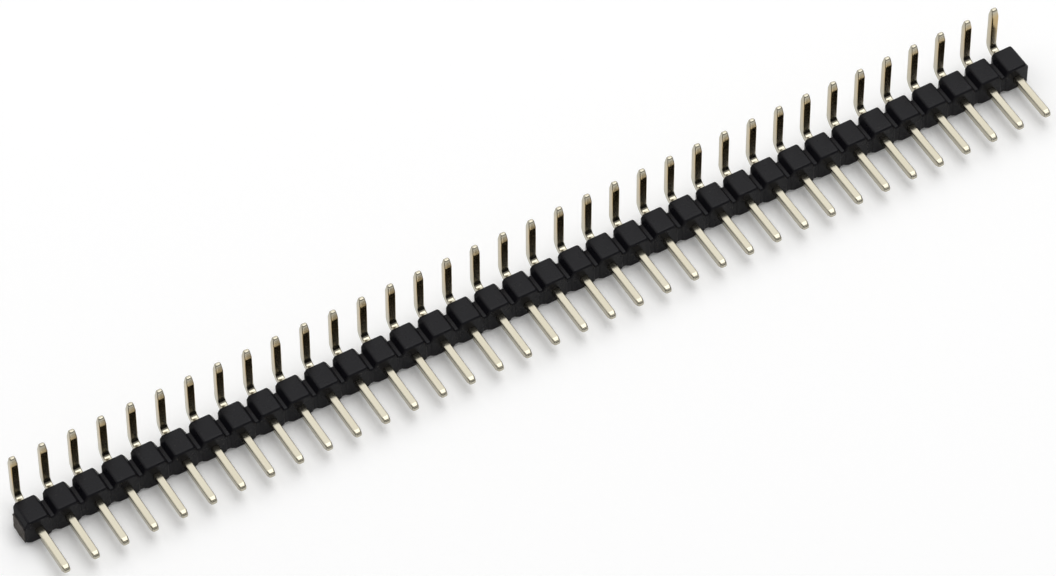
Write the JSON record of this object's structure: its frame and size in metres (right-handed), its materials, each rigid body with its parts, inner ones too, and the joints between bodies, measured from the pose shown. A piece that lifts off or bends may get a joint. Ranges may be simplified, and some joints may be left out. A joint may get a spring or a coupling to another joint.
{
  "type": "pin header strip",
  "caption": "Single-row right-angle breakaway pin header: a notched black plastic strip with bent square metal pins.",
  "frame": {"origin": "on the resting plane, under the middle of the whole part: mid-strip in X, mid-depth from post tips to tail backs in Y, undersides of the cells at z = 0", "axes": "+X along the strip, -Y the way the mating posts point, +Z the way the solder tails point"},
  "size_m": [0.0913, 0.0088, 0.006],
  "materials": {
    "housing_plastic": "satin",
    "pin_metal": "bright tin plated"
  },
  "bodies": {
    "root": {"housing_strip": "housing_plastic", "contact_pin_01": "pin_metal", "contact_pin_02": "pin_metal", "contact_pin_03": "pin_metal", "contact_pin_04": "pin_metal", "contact_pin_05": "pin_metal", "contact_pin_06": "pin_metal", "contact_pin_07": "pin_metal", "contact_pin_08": "pin_metal", "contact_pin_09": "pin_metal", "contact_pin_10": "pin_metal", "contact_pin_11": "pin_metal", "contact_pin_12": "pin_metal", "contact_pin_13": "pin_metal", "contact_pin_14": "pin_metal", "contact_pin_15": "pin_metal", "contact_pin_16": "pin_metal", "contact_pin_17": "pin_metal", "contact_pin_18": "pin_metal", "contact_pin_19": "pin_metal", "contact_pin_20": "pin_metal", "contact_pin_21": "pin_metal", "contact_pin_22": "pin_metal", "contact_pin_23": "pin_metal", "contact_pin_24": "pin_metal", "contact_pin_25": "pin_metal", "contact_pin_26": "pin_metal", "contact_pin_27": "pin_metal", "contact_pin_28": "pin_metal", "contact_pin_29": "pin_metal", "contact_pin_30": "pin_metal", "contact_pin_31": "pin_metal", "contact_pin_32": "pin_metal", "contact_pin_33": "pin_metal", "contact_pin_34": "pin_metal", "contact_pin_35": "pin_metal", "contact_pin_36": "pin_metal"}
  },
  "joints": []
}
